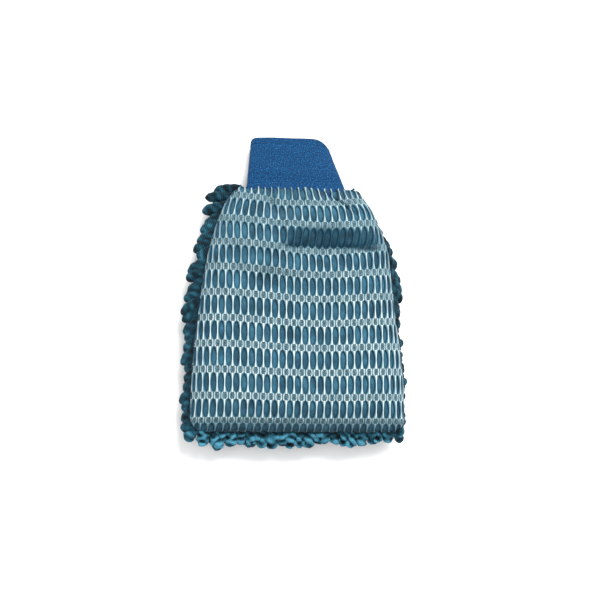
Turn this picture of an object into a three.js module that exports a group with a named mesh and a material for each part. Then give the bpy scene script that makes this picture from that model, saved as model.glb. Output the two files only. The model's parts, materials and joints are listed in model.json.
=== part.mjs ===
// A car-washing mitt at rest on its chenille pile: scrub net up, knitted cuff towards +Y, fingertip
// end towards -Y. Millimetres, +Z up, origin on the ground under the middle of the whole object.
//
// From the top down it holds a scrub net, face cloth, foam, lining, the hand pocket, a second lining
// and the pile cloth, which carries one looped chenille yarn for each row of noodles.
// The cuff is a tube with a turned hem, and bends on the mitt about the wrist line.
import * as THREE from "three";

// Mitt body
const bodyLength = 201.5; // fingertip seam to the lip of the wrist
const wristY = 206; // where the cuff bends
const bottomHalfWidth = 90;
const wristHalfWidth = 43;
const shoulderPower = 0.57; // lower is squarer shoulders
const cornerRadius = 12; // fingertip corners

// Heights of the sewn edge, and how far the two sides stand away from it
const seamHeight = 25.5;
const wristHeight = 20;
const faceEdge = 5.2; // face stack above the sewn edge
const backEdge = 2.8; // pile cloth below it
const faceRise = 16.8;
const faceRiseAtWrist = 3.3;
const backSag = 4.2;
const backSagAtWrist = 5.2;
const taperStart = 150; // from here to the wrist the body thins
const fingertipRound = 40; // length over which the fingertip end closes
const sidePower = 6; // higher is flatter in the middle and steeper at the sides

// Cloth layers
const gap = 0.3;
const netThickness = 1.0;
const clothThickness = 1.2;
const liningThickness = 0.5;
const foamThin = 0.8;
const foamThick = 5.0;

// Every layer bends on the same lines across the body, so that the layers stay an even gap apart.
const stations = [0, 1.5, 5, 10, 17, 26, 40, 65, 90, 120, 150, 166, 184, 194, bodyLength];
const foamStart = stations[2];
const foamEnd = stations[11];
const liningEnd = stations[12];
const columns = 12;

// Sewn edge
const bindingThickness = 0.8;
const bindingWidth = 6;
const bindingInset = 1;
const threadRadius = 0.7;

// Wrist elastic and the thread that joins body and cuff, both inside the lip
const elasticFrom = 186;
const elasticTo = 197;
const wristThreadFrom = 198.5;
const wristThreadTo = 200.5;
const ringThickness = 1.0;

// Chenille pile
const rowCount = 21;
const rowFirst = 8;
const rowPitch = 9.5;
const noodleWidth = 8;
const noodleLength = 19;
const noodlePitch = 10;
const rowTape = 1.2; // yarn stitched flat along the row, between noodles
const rowClearance = 0.5;
const rowInset = 6;
const splayAtTip = 35; // degrees, outermost noodles at the fingertip end
const splayAtWrist = 50;
const leanFirst = 42; // degrees, first row towards -Y
const leanFade = 16;

// Cuff
const cuffRoot = 208;
const cuffTop = 247;
const cuffLeftRoot = -41;
const cuffLeftTop = -38.2;
const cuffRightRoot = 38.5;
const cuffRightTop = 25.5;
const cuffHalfRoot = 5;
const cuffHalf = 7.5;
const cuffSwell = 8; // length over which the root thickens to the full tube
const cuffDroop = 0.27; // fall of its middle for each millimetre along +Y
const hemCornerFrom = 0.84; // share of the width from which the mouth turns down to the right
const hemCornerDrop = 10.5;
const knitThickness = 1.4;
const hemDepth = 7.5;
const hemInnerPly = 1.0;
const hemElasticThickness = 0.8;
const hemThreadSize = 0.7;

const looks = {
  net: { color: 0xd8eef0, roughness: 0.55, metalness: 0 },
  faceCloth: { color: 0x3f6f86, roughness: 0.95, metalness: 0 },
  foam: { color: 0xe6e2d2, roughness: 0.9, metalness: 0 },
  lining: { color: 0x2c5f86, roughness: 0.8, metalness: 0 },
  pileCloth: { color: 0x2a6a80, roughness: 0.95, metalness: 0 },
  chenille: { color: 0x2f7c97, roughness: 1, metalness: 0 },
  knit: { color: 0x235f92, roughness: 0.9, metalness: 0 },
  elastic: { color: 0xe8e8e4, roughness: 0.7, metalness: 0 },
  thread: { color: 0x1f5274, roughness: 0.6, metalness: 0 },
};

const radians = THREE.MathUtils.degToRad;
const smooth = THREE.MathUtils.smoothstep;
const mix = THREE.MathUtils.lerp;

// ---- Surfaces of the body: u runs from -1 to 1 across it, y along it ----

function halfWidth(y) {
  const shoulder = (1 - Math.min(1, y / wristY) ** 2) ** shoulderPower;
  const full = wristHalfWidth + (bottomHalfWidth - wristHalfWidth) * shoulder;
  const inCorner = Math.max(0, cornerRadius - y);
  return full - cornerRadius + Math.sqrt(cornerRadius ** 2 - inCorner ** 2);
}

function towardsWrist(y) {
  return smooth(y, taperStart, wristY);
}

function midHeight(y) {
  const share = (y - taperStart) / (wristY - taperStart);
  return mix(seamHeight, wristHeight, Math.max(0, share));
}

// 0 on the sewn edge, 1 over the palm.
function fullness(u, y) {
  return (1 - Math.abs(u) ** sidePower) * (1 - (1 - Math.min(1, y / fingertipRound)) ** 3);
}

function faceHeight(u, y) {
  const rise = mix(faceRise, faceRiseAtWrist, towardsWrist(y));
  return midHeight(y) + faceEdge + rise * fullness(u, y);
}

function backHeight(u, y) {
  const sag = mix(backSag, backSagAtWrist, towardsWrist(y));
  return midHeight(y) - backEdge - sag * fullness(u, y);
}

function foamThickness(u, y) {
  const covered = 1 - smooth(y, taperStart, foamEnd);
  return foamThin + (foamThick - foamThin) * fullness(u, y) * covered;
}

// ---- Mesh helpers ----

function geometryFrom(points, triangles) {
  const geometry = new THREE.BufferGeometry().setFromPoints(points);
  geometry.setIndex(triangles.flat());
  geometry.computeVertexNormals();
  return geometry;
}

// A closed sheet between two heights over the body's plan. Its columns are closest near the sides,
// and skip leaves out that many at each side.
function clothSheet({ from = 0, to = bodyLength, skip = 0, top, bottom }) {
  const rows = stations.filter((y) => y >= from && y <= to);
  const across = columns - 2 * skip;
  const along = rows.length - 1;
  const points = [];
  for (const height of [top, bottom]) {
    for (const y of rows) {
      for (let i = skip; i <= columns - skip; i++) {
        const u = Math.sin((Math.PI / 2) * ((2 * i) / columns - 1));
        points.push(new THREE.Vector3(u * halfWidth(y), y, height(u, y)));
      }
    }
  }
  const stride = across + 1;
  const layer = stride * (along + 1);
  const triangles = [];
  const quad = (a, b, c, d) => triangles.push([a, b, c], [a, c, d]);
  for (let j = 0; j < along; j++) {
    for (let i = 0; i < across; i++) {
      const a = j * stride + i;
      quad(a, a + 1, a + 1 + stride, a + stride);
      quad(layer + a, layer + a + stride, layer + a + 1 + stride, layer + a + 1);
    }
  }
  const rim = [];
  for (let i = 0; i < across; i++) rim.push(i);
  for (let j = 0; j < along; j++) rim.push(j * stride + across);
  for (let i = across; i > 0; i--) rim.push(along * stride + i);
  for (let j = along; j > 0; j--) rim.push(j * stride);
  rim.forEach((a, k) => {
    const b = rim[(k + 1) % rim.length];
    quad(a, layer + a, layer + b, b);
  });
  return geometryFrom(points, triangles);
}

// A closed ring: each corner of the profile, [inset, along], is carried round a closed loop.
function sweptRing(profile, loopCount, place) {
  const points = [];
  for (let k = 0; k < loopCount; k++) {
    for (const [inset, along] of profile) points.push(place(k / loopCount, inset, along));
  }
  const n = profile.length;
  const triangles = [];
  for (let k = 0; k < loopCount; k++) {
    const next = ((k + 1) % loopCount) * n;
    for (let i = 0; i < n; i++) {
      const j = (i + 1) % n;
      triangles.push([k * n + i, next + i, next + j], [k * n + i, next + j, k * n + j]);
    }
  }
  return geometryFrom(points, triangles);
}

function piece(name, look, geometry) {
  const mesh = new THREE.Mesh(geometry, new THREE.MeshStandardMaterial(looks[look]));
  mesh.name = name;
  return mesh;
}

// ---- Cloth layers ----

function faceLayers() {
  const clothTop = netThickness + gap;
  const foamTop = clothTop + clothThickness + gap;
  const liningTop = foamTop + gap;
  const below = (depth) => (u, y) => faceHeight(u, y) - depth;
  const belowFoam = (depth) => (u, y) => faceHeight(u, y) - depth - foamThickness(u, y);
  return [
    piece("scrub_net", "net", clothSheet({ top: below(0), bottom: below(netThickness) })),
    piece(
      "face_cloth",
      "faceCloth",
      clothSheet({ top: below(clothTop), bottom: below(clothTop + clothThickness) }),
    ),
    piece(
      "face_foam",
      "foam",
      clothSheet({
        from: foamStart,
        to: foamEnd,
        skip: 1,
        top: below(foamTop),
        bottom: belowFoam(foamTop),
      }),
    ),
    piece(
      "face_lining",
      "lining",
      clothSheet({
        to: liningEnd,
        top: belowFoam(liningTop),
        bottom: belowFoam(liningTop + liningThickness),
      }),
    ),
  ];
}

function backLayers() {
  const above = (depth) => (u, y) => backHeight(u, y) + depth;
  const liningBottom = clothThickness + gap;
  return [
    piece(
      "pile_cloth",
      "pileCloth",
      clothSheet({ top: above(clothThickness), bottom: above(0) }),
    ),
    piece(
      "back_lining",
      "lining",
      clothSheet({
        to: liningEnd,
        top: above(liningBottom + liningThickness),
        bottom: above(liningBottom),
      }),
    ),
  ];
}

// ---- Sewn edge ----

// Plan outline of three sides, open at the wrist, at a distance inside the cloth's edge.
function sewnOutline(inset) {
  const rows = stations.filter((y) => y <= liningEnd).map((y) => Math.max(inset, y));
  const heights = [...new Set(rows)].reverse();
  const left = heights.map((y) => new THREE.Vector2(inset - halfWidth(Math.max(0, y - inset)), y));
  const right = left.map((p) => new THREE.Vector2(-p.x, p.y)).reverse();
  return left.concat(right);
}

// Tape round the raw edges, inside the mitt: each cross-section has an outer and an inner edge.
function seamBinding() {
  const outer = sewnOutline(bindingInset);
  const points = outer.flatMap((edge) => {
    const inner = new THREE.Vector2(
      edge.x - Math.sign(edge.x) * bindingWidth,
      Math.max(edge.y, bindingInset + bindingWidth),
    );
    const at = (p, side) => {
      return new THREE.Vector3(p.x, p.y, midHeight(p.y) + (side * bindingThickness) / 2);
    };
    return [at(edge, -1), at(inner, -1), at(inner, 1), at(edge, 1)];
  });
  const triangles = [];
  for (let k = 0; k + 1 < outer.length; k++) {
    for (let i = 0; i < 4; i++) {
      const a = 4 * k + i;
      const b = 4 * k + ((i + 1) % 4);
      triangles.push([a, b + 4, a + 4], [a, b, b + 4]);
    }
  }
  const last = points.length - 4;
  triangles.push([0, 2, 1], [0, 3, 2], [last, last + 1, last + 2], [last, last + 2, last + 3]);
  return piece("seam_binding", "elastic", geometryFrom(points, triangles));
}

function seamThread() {
  const clear = threadRadius + gap;
  const route = sewnOutline(-clear).map((p) => new THREE.Vector3(p.x, p.y - clear, midHeight(p.y)));
  const section = new THREE.Shape();
  section.absarc(0, 0, threadRadius, 0, 2 * Math.PI);
  const geometry = new THREE.ExtrudeGeometry(section, {
    steps: 72,
    curveSegments: 3,
    extrudePath: new THREE.CatmullRomCurve3(route, false, "centripetal"),
  });
  return piece("side_seam_thread", "thread", geometry);
}

// ---- Wrist rings, inside the lip of the body ----

function wristRing(name, look, from, to) {
  const outside = netThickness + clothThickness + 2 * gap;
  const inside = outside + ringThickness;
  const profile = [
    [outside, to],
    [inside, to],
    [inside, from],
    [outside, from],
  ];
  const place = (turn, inset, y) => {
    const onFace = turn < 0.5;
    const share = onFace ? 4 * turn - 1 : 3 - 4 * turn;
    const u = Math.sin((Math.PI / 2) * share * 0.98);
    const z = onFace ? faceHeight(u, y) - inset : backHeight(u, y) + inset - netThickness - gap;
    return new THREE.Vector3((halfWidth(y) - inset) * u, y, z);
  };
  return piece(name, look, sweptRing(profile, 28, place));
}

// ---- Chenille pile ----

// A solid of flat convex cells in the XZ plane, given a depth along Y. Cells share whole edges, and
// an edge that only one cell has becomes an outer wall.
function solidOfCells(cells, near, far) {
  const key = (p) => `${p.x.toFixed(4)},${p.y.toFixed(4)}`;
  const corners = new Map();
  cells.flat().forEach((p) => corners.has(key(p)) || corners.set(key(p), { p, id: corners.size }));
  const count = corners.size;
  const points = [near, far].flatMap((y) => {
    return [...corners.values()].map(({ p }) => new THREE.Vector3(p.x, y, p.y));
  });
  const rings = cells.map((cell) => cell.map((p) => corners.get(key(p)).id));
  const stepsOf = (ring) => ring.map((a, k) => [a, ring[(k + 1) % ring.length]]);
  const edges = new Set(rings.flatMap(stepsOf).map(([a, b]) => `${a}>${b}`));
  const triangles = [];
  for (const ring of rings) {
    for (let k = 1; k + 1 < ring.length; k++) {
      triangles.push([ring[0], ring[k], ring[k + 1]]);
      triangles.push([ring[0] + count, ring[k + 1] + count, ring[k] + count]);
    }
    for (const [a, b] of stepsOf(ring)) {
      if (edges.has(`${b}>${a}`)) continue;
      triangles.push([b, a, a + count], [b, a + count, b + count]);
    }
  }
  return geometryFrom(points, triangles);
}

// One yarn: a tape stitched along the row, with a noodle hanging from it at each loop.
function noodleRow(index) {
  const y = rowFirst + index * rowPitch;
  const near = y - noodleWidth / 2;
  const far = y + noodleWidth / 2;
  const edge = Math.min(halfWidth(near), halfWidth(far));
  const reach = edge - rowInset;
  const count = Math.floor((2 * reach) / noodlePitch) + 1;
  const spacing = (2 * reach) / (count - 1);
  const radius = noodleWidth / 2;
  const splay = radians(mix(splayAtTip, splayAtWrist, y / bodyLength));
  const lean = Math.tan(radians(leanFirst * Math.exp(-(y - rowFirst) / leanFade)));

  const tapeTop = (x) => {
    const under = [near, y, far].map((at) => backHeight(x / halfWidth(at), at));
    return new THREE.Vector2(x, Math.min(...under) - rowClearance);
  };
  const root = (x) => tapeTop(x).sub(new THREE.Vector2(0, rowTape));
  const tape = (from, to) => [root(from), root(to), tapeTop(to), tapeTop(from)];

  const noodle = (x) => {
    const angle = splay * (x / edge) ** 3;
    const drop = root(x).y;
    const ends = [root(x + radius), root(x - radius)];
    const standsOnGround = noodleLength * Math.cos(angle) > drop - radius * Math.abs(Math.sin(angle));
    if (standsOnGround) {
      const shift = drop * Math.tan(angle);
      const foot = [-radius, radius].map((side) => new THREE.Vector2(x + side + shift, 0));
      return [...foot, ...ends];
    }
    const down = new THREE.Vector2(Math.sin(angle), -Math.cos(angle));
    const aside = new THREE.Vector2(Math.cos(angle), Math.sin(angle)).multiplyScalar(radius);
    const end = new THREE.Vector2(x, drop).addScaledVector(down, noodleLength - radius / 2);
    const tip = end.clone().addScaledVector(down, radius / 2);
    return [end.clone().sub(aside), tip, end.clone().add(aside), ...ends];
  };

  const cells = [];
  for (let j = 0; j < count; j++) {
    const x = -reach + j * spacing;
    cells.push(noodle(x), tape(x - radius, x + radius));
    if (j + 1 < count) cells.push(tape(x + radius, x + spacing - radius));
  }
  const geometry = solidOfCells(cells, near, far);
  const position = geometry.attributes.position;
  const level = root(0).y;
  for (let i = 0; i < position.count; i++) {
    const below = Math.max(0, level - position.getZ(i));
    position.setY(i, position.getY(i) - below * lean);
  }
  return piece(`noodle_row_${String(index + 1).padStart(2, "0")}`, "chenille", geometry);
}

// ---- Cuff ----

// A point of the flattened tube: turn 0 to 1 goes round it from the left of its upper wall, inset
// goes into it from its outside, and down is the distance from its mouth.
function cuffPoint(turn, inset, down) {
  const share = 1 - down / (cuffTop - cuffRoot);
  const level = mix(cuffRoot, cuffTop, share);
  const half = mix(cuffHalfRoot, cuffHalf, smooth(level, cuffRoot, cuffRoot + cuffSwell));
  const width = cuffRight(share) - cuffLeft(share);
  const straight = width / 2 - half; // half length of the flat part of the section
  const roundEnd = (side, part, radius) => {
    const angle = Math.PI * (0.5 - part);
    return [side * (straight + radius * Math.cos(angle)), side * radius * Math.sin(angle)];
  };
  const quarters = [
    (part, radius) => [mix(-straight, straight, part), radius],
    (part, radius) => roundEnd(1, part, radius),
    (part, radius) => [mix(straight, -straight, part), -radius],
    (part, radius) => roundEnd(-1, part, radius),
  ];
  const quarter = Math.min(3, Math.floor(turn * 4));
  const section = (radius) => quarters[quarter](turn * 4 - quarter, radius);
  const [x, z] = section(half - inset);

  // The mouth's right-hand corner is rounded, so the tube is shorter towards its right edge.
  const outermost = 0.5 + section(half)[0] / width;
  const turned = Math.max(0, (outermost - hemCornerFrom) / (1 - hemCornerFrom));
  const drop = hemCornerDrop * (1 - Math.sqrt(1 - turned ** 2)) * smooth(share, 0, 1);
  const y = level - drop;
  const height = (y - cuffRoot) / (cuffTop - cuffRoot);
  const place = mix(cuffLeft(height), cuffRight(height), 0.5 + x / width);
  return new THREE.Vector3(place, y, wristHeight - (y - wristY) * cuffDroop + z);
}

function cuffLeft(share) {
  return mix(cuffLeftRoot, cuffLeftTop, share);
}

function cuffRight(share) {
  return mix(cuffRightRoot, cuffRightTop, share);
}

function cuffRing(name, look, profile) {
  return piece(name, look, sweptRing(profile, 32, cuffPoint));
}

function cuffPieces() {
  const elasticFromFace = knitThickness + gap;
  const plyFromFace = elasticFromFace + hemElasticThickness + gap;
  const plyInside = plyFromFace + hemInnerPly;
  const length = cuffTop - cuffRoot;
  const threadDown = hemDepth + gap;
  return [
    // Outer wall from root to mouth, turned in and down to the end of the hem.
    cuffRing("cuff_knit", "knit", [
      [0, length],
      [0, cuffSwell * 2.5],
      [0, hemDepth],
      [0, 0],
      [plyInside, 0],
      [plyInside, hemDepth],
      [plyFromFace, hemDepth],
      [plyFromFace, knitThickness],
      [knitThickness, knitThickness],
      [knitThickness, hemDepth],
      [knitThickness, cuffSwell * 2.5],
      [knitThickness, length],
    ]),
    cuffRing("hem_elastic", "elastic", [
      [elasticFromFace, knitThickness + gap],
      [elasticFromFace + hemElasticThickness, knitThickness + gap],
      [elasticFromFace + hemElasticThickness, hemDepth - gap],
      [elasticFromFace, hemDepth - gap],
    ]),
    cuffRing("hem_thread", "thread", [
      [elasticFromFace, threadDown],
      [elasticFromFace + hemThreadSize, threadDown],
      [elasticFromFace + hemThreadSize, threadDown + hemThreadSize],
      [elasticFromFace, threadDown + hemThreadSize],
    ]),
  ];
}

// ---- Assembly ----

const mitt = new THREE.Group();
mitt.add(...faceLayers(), ...backLayers());
mitt.add(seamBinding(), seamThread());
mitt.add(wristRing("wrist_elastic", "elastic", elasticFrom, elasticTo));
mitt.add(wristRing("wrist_thread", "thread", wristThreadFrom, wristThreadTo));
for (let index = 0; index < rowCount; index++) mitt.add(noodleRow(index));

const cuff = new THREE.Group();
cuff.add(...cuffPieces());

const washMitt = new THREE.Group();
washMitt.add(mitt, cuff);
const box = new THREE.Box3().setFromObject(washMitt);
const centre = box.getCenter(new THREE.Vector3());
washMitt.position.set(-centre.x, -centre.y, -box.min.z);

export default washMitt;
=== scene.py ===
import json
import math

import bmesh
import bpy
import numpy as np
from mathutils import Matrix, Vector


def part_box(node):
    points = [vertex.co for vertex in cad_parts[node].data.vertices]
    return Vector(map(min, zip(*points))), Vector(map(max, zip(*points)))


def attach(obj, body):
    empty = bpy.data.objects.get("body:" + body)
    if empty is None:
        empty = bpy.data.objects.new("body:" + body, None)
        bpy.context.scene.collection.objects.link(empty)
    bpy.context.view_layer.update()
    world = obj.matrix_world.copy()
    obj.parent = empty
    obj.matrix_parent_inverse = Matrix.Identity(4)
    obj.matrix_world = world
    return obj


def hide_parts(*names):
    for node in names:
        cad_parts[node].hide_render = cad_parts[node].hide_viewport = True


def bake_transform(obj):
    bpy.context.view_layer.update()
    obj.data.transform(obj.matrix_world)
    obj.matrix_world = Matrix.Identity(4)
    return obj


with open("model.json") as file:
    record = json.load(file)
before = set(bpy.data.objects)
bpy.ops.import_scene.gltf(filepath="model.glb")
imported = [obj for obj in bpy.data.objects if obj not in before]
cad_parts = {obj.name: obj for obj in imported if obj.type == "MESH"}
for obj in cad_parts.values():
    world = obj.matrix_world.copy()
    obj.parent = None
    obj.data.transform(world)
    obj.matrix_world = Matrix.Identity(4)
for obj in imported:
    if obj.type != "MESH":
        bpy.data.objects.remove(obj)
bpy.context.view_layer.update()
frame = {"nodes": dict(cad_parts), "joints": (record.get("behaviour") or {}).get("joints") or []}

# Shapes are worked out in millimetres, with y counted from the fingertip seam towards the cuff,
# and turned into metres in the frame when a mesh is made.
mm = 0.001
netLow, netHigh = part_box("scrub_net")
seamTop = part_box("side_seam_thread")[1]
cuffLow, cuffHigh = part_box("cuff_knit")
wrist = Vector(frame["joints"][0]["pos_m"])
tipY = netLow.y


def smooth(value, low, high):
    share = np.clip((value - low) / (high - low), 0, 1)
    return share * share * (3 - 2 * share)


def mix(a, b, share):
    return a + (b - a) * share


def closerAtSides(count):
    # From -1 to 1 in steps that get smaller towards both.
    return np.sin(np.linspace(-math.pi / 2, math.pi / 2, count))


def ripple(x, y, wave, seed):
    # Smooth unevenness of about -1 to 1, with bumps roughly one wave apart.
    draw = np.random.default_rng(seed)
    total = 0
    for _ in range(6):
        heading = draw.uniform(0, 2 * math.pi)
        turn = 2 * math.pi / (wave * draw.uniform(0.7, 1.6))
        shift = draw.uniform(0, 2 * math.pi)
        total = total + np.sin(turn * (x * math.cos(heading) + y * math.sin(heading)) + shift)
    return total / 3.2


body = {
    "bottomHalf": 89,
    "wristHalf": 44,
    "shoulderPower": 0.5,  # lower is squarer shoulders
    "rightShoulder": 2.2,  # the right side bulges at the shoulder
    "shoulderY": 158,
    "rightWaist": 2.0,  # and draws in below it
    "waistY": 95,
    "cornerRadius": 12,
    "wristY": (wrist.y - tipY) / mm,
    "endY": (wrist.y - tipY) / mm - 0.4,  # the gathered edge that lies on the cuff
    "seamZ": seamTop.z / mm - 0.7,
    "wristZ": wrist.z / mm,
    "topZ": netHigh.z / mm,
    "taperFrom": 150,
    "taperPower": 2.2,  # higher keeps the mitt full nearer the cuff
    "tipRound": 40,
    "sidePower": 4.2,  # higher is flatter over the palm
    "roundness": 0.68,  # lower is fuller at the sewn edge
    "faceEdge": 2.2,  # the net's upper side above the sewn edge
    "riseAtWrist": 5.6,
    "topRoom": 1.2,  # left for the ribs above the face
    "lipLength": 5,  # the face's end turns down to the cuff
    "lipDrop": 3.6,
    "backLip": 2.0,
    "backEdge": 1.6,
    "backSag": 4.6,
}


def halfWidth(y):
    shoulder = np.maximum(0, 1 - np.clip(y / body["wristY"], 0, 1) ** 2) ** body["shoulderPower"]
    full = mix(body["wristHalf"], body["bottomHalf"], shoulder)
    radius = body["cornerRadius"]
    inCorner = np.clip(radius - y, 0, radius)
    return full - radius + np.sqrt(radius**2 - inCorner**2)


def across(u, y):
    # From -1 at the left sewn edge to 1 at the right one, as a distance from the middle line.
    bulge = body["rightShoulder"] * np.exp(-(((y - body["shoulderY"]) / 16) ** 2))
    bulge = bulge - body["rightWaist"] * np.exp(-(((y - body["waistY"]) / 24) ** 2))
    return u * halfWidth(y) + np.maximum(u, 0) * bulge


def midHeight(y):
    share = (y - body["taperFrom"]) / (body["wristY"] - body["taperFrom"])
    return mix(body["seamZ"], body["wristZ"], np.clip(share, 0, 1))


def fullness(u, y):
    side = np.maximum(0, 1 - np.abs(u) ** body["sidePower"]) ** body["roundness"]
    end = (1 - (1 - np.clip(y / body["tipRound"], 0, 1)) ** 3) ** body["roundness"]
    return side * end


# Creases of the face: the cloth past the pad's end puffs up over a fold, and is gathered at the cuff.
crease = {
    "foldY": 153,
    "foldFrom": -20,
    "foldTo": 71,
    "foldMiddle": 28,
    "foldBow": 0.0011,  # how fast the fold's line comes down to each side of its middle
    "foldDip": 7.2,
    "puffRise": 8.4,
    "slopeLength": 15.5,
    "gatherDepth": 1.9,
    "gatherFade": 13,
    "gatherCount": 9,
    "waveDepth": 0.9,
    "waveLength": 34,
    "moundHeight": 5.4,
    "moundX": -16,
    "moundWidth": 25,
    "dimpleDepth": 6.0,
    "dimplePlace": (-14, 189),
    "dimpleSize": (10, 8),
    "pleatDepth": 4.5,
    "straightPleatX": -21,
    "slantingPleatX": 20,
}


def pastFold(x, y):
    return y - crease["foldY"] + crease["foldBow"] * (x - crease["foldMiddle"]) ** 2


def foldShape(x, y):
    # Past the fold the cloth climbs a straight slope to the puff, stays up, and falls at the cuff.
    past = pastFold(x, y)
    within = smooth(x, crease["foldFrom"], crease["foldFrom"] + 14)
    within = within * (1 - smooth(x, crease["foldTo"] - 12, crease["foldTo"]))
    share = np.clip(past / crease["slopeLength"], 0, 1)
    climb = (share - share**6 / 6) * 1.2
    before = np.exp(-((np.minimum(past, 0) / 18) ** 2))
    dip = crease["foldDip"] * before * (1 - climb)
    puff = crease["puffRise"] * climb * (1 - smooth(past, 30, 50))
    line = 1.6 * np.exp(-((past / 1.6) ** 2))
    return within * (puff - dip - line)


def creases(x, y):
    toEnd = body["endY"] - y
    near = np.exp(-toEnd / crease["gatherFade"])
    phase = math.pi * crease["gatherCount"] * (x / 42 + 0.12 * np.sin(x / 9 + 1))
    gathers = crease["gatherDepth"] * near * (np.sin(phase) + 0.5 * np.sin(2.3 * phase + 1))
    mound = smooth(y, 122, 138) * (1 - smooth(y, 150, 190))
    mound = mound * np.exp(-(((x - crease["moundX"]) / crease["moundWidth"]) ** 2))
    dimpleX, dimpleY = crease["dimplePlace"]
    wide, long = crease["dimpleSize"]
    dimple = np.exp(-(((x - dimpleX) / wide) ** 2) - ((y - dimpleY) / long) ** 2)
    # Two narrow pleats run down from the cuff, one straight and one slanting to the right.
    straight = np.exp(-(((x - crease["straightPleatX"] + 0.1 * toEnd) / 1.6) ** 2))
    straight = straight * (1 - smooth(toEnd, 14, 26))
    slanting = np.exp(-(((x - crease["slantingPleatX"] - 1.05 * toEnd) / 2.4) ** 2))
    slanting = slanting * (1 - smooth(toEnd, 18, 30))
    height = foldShape(x, y) + gathers + crease["moundHeight"] * mound
    height = height - crease["dimpleDepth"] * dimple - crease["pleatDepth"] * (straight + slanting)
    uneven = ripple(x, y, crease["waveLength"], 3)
    return height + crease["waveDepth"] * (0.3 + smooth(y, 70, 170)) * uneven


def lipCurve(y):
    # From 0 to 1 as the cloth turns down a quarter round at the cuff.
    share = np.clip((y - body["endY"] + body["lipLength"]) / body["lipLength"], 0, 1)
    return 1 - np.sqrt(1 - share**2)


def smoothFace(u, y):
    full = fullness(u, y)
    taper = np.clip((y - body["taperFrom"]) / (body["wristY"] - body["taperFrom"]), 0, 1)
    rise = body["topZ"] - body["seamZ"] - body["faceEdge"] - body["topRoom"]
    rise = mix(rise, body["riseAtWrist"], taper ** body["taperPower"])
    lip = body["lipDrop"] * lipCurve(y)
    return midHeight(y) + body["faceEdge"] + rise * full - lip * np.sqrt(full)


def faceHeight(u, y):
    return smoothFace(u, y) + creases(across(u, y), y) * np.sqrt(fullness(u, y))


def backHeight(u, y):
    full = fullness(u, y)
    lip = body["backLip"] * lipCurve(y)
    return midHeight(y) - body["backEdge"] - body["backSag"] * full + lip * full


# Cloth keeps its length as it curves, so places on it are found by length along the surface
# before it is creased.
def arcTables():
    alongY = np.concatenate([np.linspace(0, 40, 81), np.linspace(40.5, body["endY"], 240)])
    columns = 361
    turn = closerAtSides(columns)
    u, y = np.meshgrid(turn, alongY)
    x = across(u, y)
    z = smoothFace(u, y)
    steps = np.hypot(np.diff(x, axis=1), np.diff(z, axis=1))
    length = np.concatenate([np.zeros((len(alongY), 1)), np.cumsum(steps, axis=1)], axis=1)
    shares = np.linspace(-1, 1, 401)
    table = np.empty((len(alongY), len(shares)))
    half = np.empty(len(alongY))
    for k in range(len(alongY)):
        signed = length[k] - length[k, columns // 2]
        half[k] = min(-signed[0], signed[-1])
        table[k] = np.interp(shares * half[k], signed, turn)
    # Nearer the cuff the cloth gives, so its rows keep their step there.
    fall = np.diff(smoothFace(np.zeros(len(alongY)), alongY)) * (1 - smooth(alongY[1:], 60, 120))
    centre = np.hypot(np.diff(alongY), fall)
    down = np.concatenate([[0], np.cumsum(centre)])
    return alongY, half, shares, table, down


arcY, arcHalf, arcShares, arcU, arcDown = arcTables()
clothLength = float(arcDown[-1])
clothHalf = float(arcHalf.max())


def onFace(s, t, height=faceHeight):
    # Where a point of the flat cloth comes to lie: s across from the middle, t up from the tip.
    y = np.interp(t, arcDown, arcY)
    half = np.interp(y, arcY, arcHalf)
    share = np.clip(s / half, -1, 1)
    row = np.interp(y, arcY, np.arange(len(arcY)))
    k = np.clip(row.astype(int), 0, len(arcY) - 2)
    column = (share + 1) / 2 * (len(arcShares) - 1)
    j = np.clip(column.astype(int), 0, len(arcShares) - 2)
    a, b = row - k, column - j
    u = (arcU[k, j] * (1 - b) + arcU[k, j + 1] * b) * (1 - a)
    u = u + (arcU[k + 1, j] * (1 - b) + arcU[k + 1, j + 1] * b) * a
    return np.stack([across(u, y), y, height(u, y)], axis=-1)


def faceNormal(s, t):
    # Taken before the creases, so that layers set below each other don't cross in a tight pleat.
    step = 0.4
    sideways = onFace(s + step, t, smoothFace) - onFace(s - step, t, smoothFace)
    lengthways = onFace(s, t + step, smoothFace) - onFace(s, t - step, smoothFace)
    normal = np.cross(sideways, lengthways)
    length = np.linalg.norm(normal, axis=-1, keepdims=True)
    return np.where(length > 1e-9, normal / np.maximum(length, 1e-9), [0, 0, 1])


def linked(name, data):
    thing = bpy.data.objects.new(name, data)
    bpy.context.scene.collection.objects.link(thing)
    return thing


def makePiece(name, points, faces, material, uv=None, crest=None):
    points = np.asarray(points, float).reshape(-1, 3)
    mesh = bpy.data.meshes.new(name)
    mesh.from_pydata((points * mm + [0, tipY, 0]).tolist(), [], faces)
    mesh.validate()
    mesh.polygons.foreach_set("use_smooth", [True] * len(mesh.polygons))
    if uv is not None:
        corner = np.empty(len(mesh.loops), int)
        mesh.loops.foreach_get("vertex_index", corner)
        layer = mesh.uv_layers.new(name="cloth")
        layer.data.foreach_set("uv", (np.asarray(uv) * mm)[corner].ravel())
    if crest is not None:
        mark = mesh.attributes.new("crest", "FLOAT", "POINT")
        mark.data.foreach_set("value", np.asarray(crest, float))
    mesh.materials.append(material)
    return linked(name, mesh)


def joined(parts):
    # Several meshes as one: their points and faces, and whatever else they carry for each point.
    points, faces, marks = [], [], []
    start = 0
    for more, quads, *crest in parts:
        points.append(more)
        marks += crest
        faces += [tuple(i + start for i in q) for q in quads]
        start += len(more)
    return np.concatenate(points), faces, np.concatenate(marks) if marks else None


def gridFaces(rows, columns, closed=False):
    faces = []
    for j in range(rows - 1):
        for i in range(columns if closed else columns - 1):
            a = j * columns + i
            b = j * columns + (i + 1) % columns
            faces.append((a, b, b + columns, a + columns))
    return faces


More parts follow.
